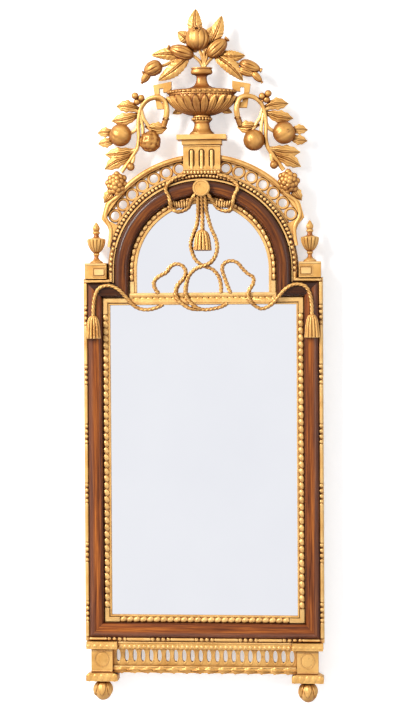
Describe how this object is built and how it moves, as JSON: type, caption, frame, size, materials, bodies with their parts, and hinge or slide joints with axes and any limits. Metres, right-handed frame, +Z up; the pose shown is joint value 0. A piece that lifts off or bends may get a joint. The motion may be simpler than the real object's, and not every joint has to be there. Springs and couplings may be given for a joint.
{
  "type": "wall mirror",
  "caption": "Tall arched wall mirror with a mahogany cushion frame, gilt carved edging, rope and tassel ornament, pierced gallery, urn and fruit crest, and pierced apron on ball feet.",
  "frame": {"origin": "middle of the rail between the two mirror plates, on the wall plane", "axes": "+Z up, +X to the right seen from the front, +Y into the wall, so the front looks along -Y"},
  "size_m": [0.551, 0.0695, 1.5891],
  "materials": {
    "gilt_wood": "water gilding on carved wood, rubbed through on the high edges",
    "mahogany": "polished mahogany, dark and worn at the edges",
    "pine": "planed raw pine",
    "back_boards": "rough sawn boards",
    "mirror_glass": "silvered plate",
    "wrought_iron": "black iron",
    "screw_steel": "aged steel"
  },
  "bodies": {
    "mirror": {"apron_frieze": "gilt_wood", "ball_feet": "gilt_wood", "bouquet": "gilt_wood", "carcass_arch_left": "pine", "carcass_arch_right": "pine", "carcass_bottom_rail": "pine", "carcass_middle_rail": "pine", "carcass_stile_left": "pine", "carcass_stile_right": "pine", "centre_rope": "gilt_wood", "corner_blocks": "gilt_wood", "crossbar": "gilt_wood", "edging_arch_left": "gilt_wood", "edging_arch_right": "gilt_wood", "edging_bottom": "gilt_wood", "edging_left": "gilt_wood", "edging_right": "gilt_wood", "edging_shoulders": "gilt_wood", "foot_block_left": "gilt_wood", "foot_block_right": "gilt_wood", "gallery_cornice_left": "gilt_wood", "gallery_cornice_right": "gilt_wood", "garland_left": "gilt_wood", "garland_right": "gilt_wood", "glass_blocks": "pine", "hanger_straps": "wrought_iron", "lower_backboard": "back_boards", "lower_mirror_plate": "mirror_glass", "mahogany_arch_left": "mahogany", "mahogany_arch_right": "mahogany", "mahogany_bottom": "mahogany", "mahogany_left": "mahogany", "mahogany_right": "mahogany", "mahogany_shoulders": "mahogany", "plinth_block": "gilt_wood", "plinth_cap": "gilt_wood", "ring_gallery_left": "gilt_wood", "ring_gallery_right": "gilt_wood", "rope_boss": "gilt_wood", "rope_swags": "gilt_wood", "screws": "screw_steel", "shoulder_rope_left": "gilt_wood", "shoulder_rope_right": "gilt_wood", "side_urn_left": "gilt_wood", "side_urn_right": "gilt_wood", "sight_arch_left": "gilt_wood", "sight_arch_right": "gilt_wood", "sight_bottom": "gilt_wood", "sight_left": "gilt_wood", "sight_right": "gilt_wood", "sight_top_returns": "gilt_wood", "upper_backboard": "back_boards", "upper_mirror_plate": "mirror_glass", "urn_bowl": "gilt_wood", "urn_foot": "gilt_wood", "urn_handle_left": "gilt_wood", "urn_handle_right": "gilt_wood"},
    "hanging_ring_left": {"hanging_ring_left": "wrought_iron"},
    "hanging_ring_right": {"hanging_ring_right": "wrought_iron"}
  },
  "joints": [
    {"name": "hanging_ring_left_swing", "type": "hinge", "parent": "mirror", "child": "hanging_ring_left", "pos_m": [-0.2545, -0.00312, -0.12], "axis": [1, 0, 0], "range_deg": [0, 165]},
    {"name": "hanging_ring_right_swing", "type": "hinge", "parent": "mirror", "child": "hanging_ring_right", "pos_m": [0.2545, -0.00312, -0.12], "axis": [1, 0, 0], "range_deg": [0, 165]}
  ]
}
